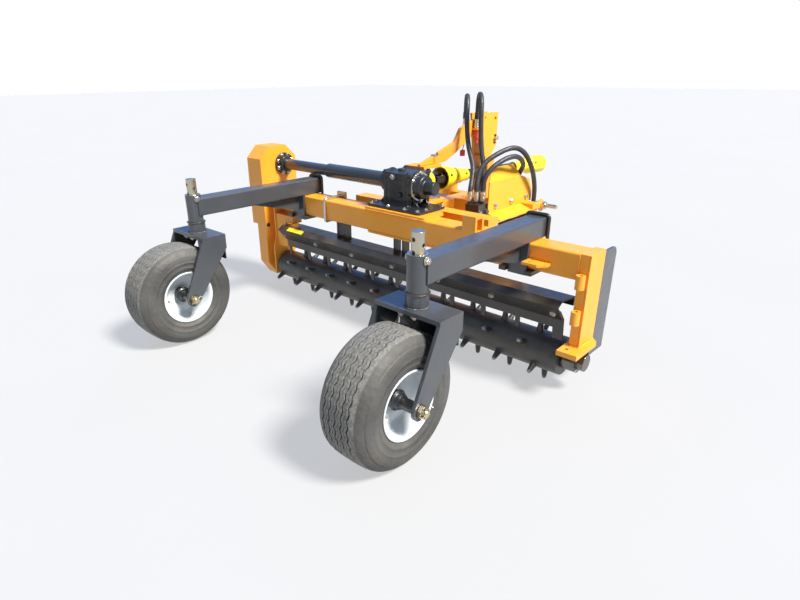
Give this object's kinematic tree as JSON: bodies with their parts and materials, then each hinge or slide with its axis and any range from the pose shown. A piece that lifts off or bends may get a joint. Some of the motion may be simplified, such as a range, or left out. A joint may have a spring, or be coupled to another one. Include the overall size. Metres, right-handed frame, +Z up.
{
  "type": "power rake",
  "caption": "Tractor-mounted power rake: toothed roller under a beam, chain case, gearbox and drive shaft, swinging three-point hitch with cylinder and hoses, two caster wheels behind.",
  "frame": {"origin": "middle of the machine's floor rectangle, on the ground", "axes": "+X to the machine's right, +Y forward to the tractor, +Z up"},
  "size_m": [2.034, 2.3751, 1.0698],
  "materials": {
    "orange_paint": "semi-gloss",
    "yellow_paint": "semi-gloss",
    "dark_grey_paint": "satin",
    "blue_grey_paint": "satin",
    "black_paint": "semi-gloss",
    "black_casting": "painted casting",
    "white_paint": "gloss",
    "dark_steel": "oiled forging",
    "zinc": "zinc plated",
    "chrome": "hard chrome",
    "yellow_plastic": "moulded",
    "black_plastic": "moulded",
    "hose_rubber": "matt",
    "tyre_rubber": "dusty"
  },
  "bodies": {
    "main": {"main_beam": "orange_paint", "beam_brackets": "orange_paint", "left_end_bracket": "orange_paint", "right_end_post": "orange_paint", "end_guard": "dark_grey_paint", "chain_case": "orange_paint", "chain_case_cover": "orange_paint", "case_bearing_flange": "black_paint", "drive_tube": "blue_grey_paint", "gearbox": "black_casting", "gearbox_side_cover": "black_casting", "input_shield": "yellow_plastic", "input_yoke": "dark_steel", "swing_turret": "orange_paint", "swing_pins": "zinc", "barrier_carrier": "black_paint", "barrier_comb": "black_paint", "barrier_hangers": "black_paint", "arm_clamps": "zinc", "roller_bearings": "dark_steel", "arm_left": "dark_grey_paint", "arm_right": "dark_grey_paint", "set_bolts_left": "zinc", "set_bolts_right": "zinc"},
    "roller": {"roller": "black_paint", "roller_teeth": "black_paint"},
    "hitch": {"hitch_frame": "orange_paint", "mast_plates": "yellow_paint", "mast_brace": "orange_paint", "lower_hitch_pins": "zinc", "top_link_pin": "zinc", "cylinder_guard": "yellow_paint", "valve_block": "black_paint", "pto_shaft": "dark_steel", "pto_guard_rear": "yellow_plastic", "pto_guard_tube": "black_plastic", "pto_guard_front": "yellow_plastic", "hose_coupler_right": "zinc", "hose_coupler_left": "zinc", "hose_supply_right": "hose_rubber", "hose_supply_left": "hose_rubber", "hose_cylinder_cap": "hose_rubber", "hose_cylinder_rod": "hose_rubber"},
    "cylinder_barrel": {"cylinder_barrel": "black_paint"},
    "cylinder_rod": {"cylinder_rod": "chrome"},
    "caster_left": {"caster_fork_left": "dark_grey_paint", "caster_axle_left": "zinc"},
    "wheel_left": {"rim_left": "white_paint", "tyre_left": "tyre_rubber"},
    "caster_right": {"caster_fork_right": "dark_grey_paint", "caster_axle_right": "zinc"},
    "wheel_right": {"rim_right": "white_paint", "tyre_right": "tyre_rubber"}
  },
  "joints": [
    {"name": "caster_left_swivel", "type": "hinge", "parent": "main", "child": "caster_left", "pos_m": [-0.596, -0.82761, 0.6], "axis": [0, 0, 1], "continuous": true},
    {"name": "wheel_left_spin", "type": "hinge", "parent": "caster_left", "child": "wheel_left", "pos_m": [-0.596, -0.95961, 0.228], "axis": [1, 0, 0], "continuous": true},
    {"name": "caster_right_swivel", "type": "hinge", "parent": "main", "child": "caster_right", "pos_m": [0.72, -0.82761, 0.6], "axis": [0, 0, 1], "continuous": true},
    {"name": "wheel_right_spin", "type": "hinge", "parent": "caster_right", "child": "wheel_right", "pos_m": [0.72, -0.95961, 0.228], "axis": [1, 0, 0], "continuous": true},
    {"name": "roller_spin", "type": "hinge", "parent": "main", "child": "roller", "pos_m": [0.062, -0.15861, 0.128], "axis": [1, 0, 0], "continuous": true},
    {"name": "hitch_swing", "type": "hinge", "parent": "main", "child": "hitch", "pos_m": [0.016, 0.13639, 0.515], "axis": [0, 0, 1], "range_deg": [-15, 15]},
    {"name": "cylinder_pivot", "type": "hinge", "parent": "hitch", "child": "cylinder_barrel", "pos_m": [0.297, 0.60139, 0.438], "axis": [0, 0, 1], "range_deg": [-6, 6]},
    {"name": "rod_slide", "type": "slide", "parent": "cylinder_barrel", "child": "cylinder_rod", "axis": [0, -1, 0], "range_m": [-0.085, 0.085]}
  ],
  "couplings": [
    {"joint": "cylinder_pivot", "follows": "hitch_swing", "ratio": -0.292},
    {"joint": "rod_slide", "follows": "hitch_swing", "m_per_rad": 0.28}
  ]
}
